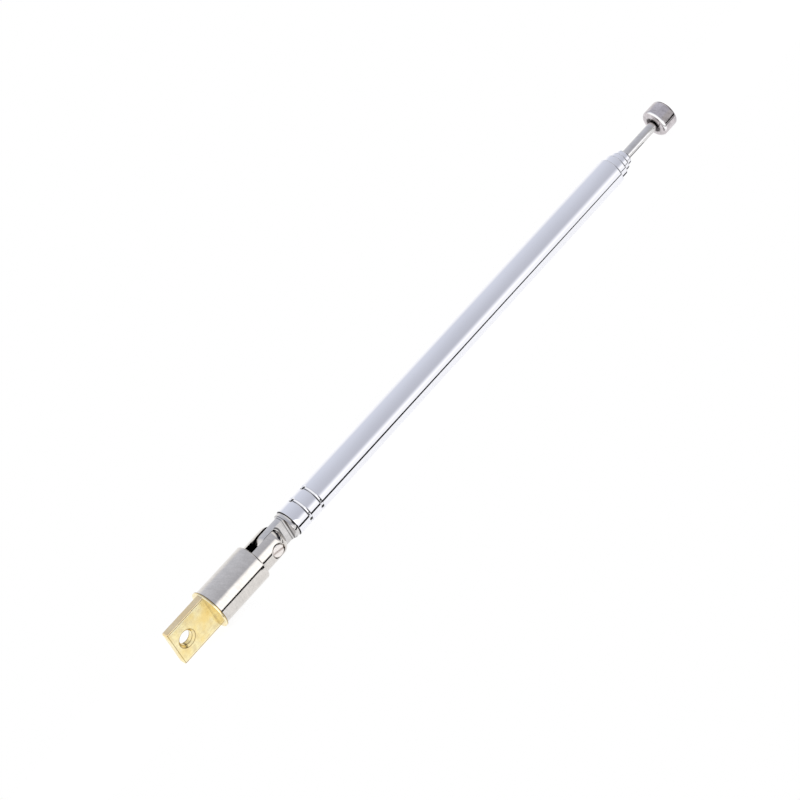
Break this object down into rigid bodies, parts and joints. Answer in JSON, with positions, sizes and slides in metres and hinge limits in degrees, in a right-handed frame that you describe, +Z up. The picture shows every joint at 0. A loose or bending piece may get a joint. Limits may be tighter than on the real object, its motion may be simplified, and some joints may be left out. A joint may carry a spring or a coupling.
{
  "type": "telescopic antenna",
  "caption": "Telescopic whip antenna with nested tubes, a knuckle, a swivel and a flat tab with a countersunk screw hole.",
  "frame": {"origin": "centre of the mounting hole, at the middle of the blade's thickness and on the antenna's axis", "axes": "+X along the antenna from the tab to the tip knob; the blade's normal, the screw hole and the knuckle's pin run along Y with the countersink and the screw's head toward -Y; +Z up, with the antenna lying on the blade's long edge and the tip knob"},
  "size_m": [0.171, 0.0098, 0.0098],
  "materials": {
    "brass": "pale yellow brass, machined and lightly brushed",
    "satin_nickel": "satin nickel plate over brass",
    "bright_nickel": "bright nickel plate",
    "nickel_screw": "nickel-plated steel screw",
    "chrome": "polished chrome plate",
    "spring_steel": "hardened spring steel",
    "bronze": "phosphor bronze sheet"
  },
  "bodies": {
    "base": {"mounting_tab": "brass", "swivel_sleeve": "satin_nickel", "swivel_spring": "spring_steel"},
    "fork": {"fork": "satin_nickel", "pivot_screw": "nickel_screw", "knuckle_washer_front": "bronze", "knuckle_washer_rear": "bronze"},
    "outer_section": {"hinge_plug": "bright_nickel", "outer_tube": "chrome"},
    "second_section": {"second_tube": "chrome", "second_tube_leaf_left": "bronze", "second_tube_leaf_right": "bronze"},
    "third_section": {"third_tube": "chrome", "third_tube_leaf_left": "bronze", "third_tube_leaf_right": "bronze"},
    "fourth_section": {"fourth_tube": "chrome", "fourth_tube_leaf_left": "bronze", "fourth_tube_leaf_right": "bronze"},
    "tip_section": {"tip_rod": "bright_nickel", "rod_bush": "bronze", "rod_leaf_left": "bronze", "rod_leaf_right": "bronze", "tip_knob": "satin_nickel"}
  },
  "joints": [
    {"name": "swivel", "type": "hinge", "parent": "base", "child": "fork", "pos_m": [0.022, 0, 0], "axis": [1, 0, 0], "continuous": true},
    {"name": "knuckle", "type": "hinge", "parent": "fork", "child": "outer_section", "pos_m": [0.027, 0, 0], "axis": [0, 1, 0], "range_deg": [-90, 90]},
    {"name": "second_slide", "type": "slide", "parent": "outer_section", "child": "second_section", "axis": [1, 0, 0], "range_m": [0, 0.097]},
    {"name": "third_slide", "type": "slide", "parent": "second_section", "child": "third_section", "axis": [1, 0, 0], "range_m": [0, 0.099]},
    {"name": "fourth_slide", "type": "slide", "parent": "third_section", "child": "fourth_section", "axis": [1, 0, 0], "range_m": [0, 0.1005]},
    {"name": "tip_slide", "type": "slide", "parent": "fourth_section", "child": "tip_section", "axis": [1, 0, 0], "range_m": [0, 0.101]}
  ]
}
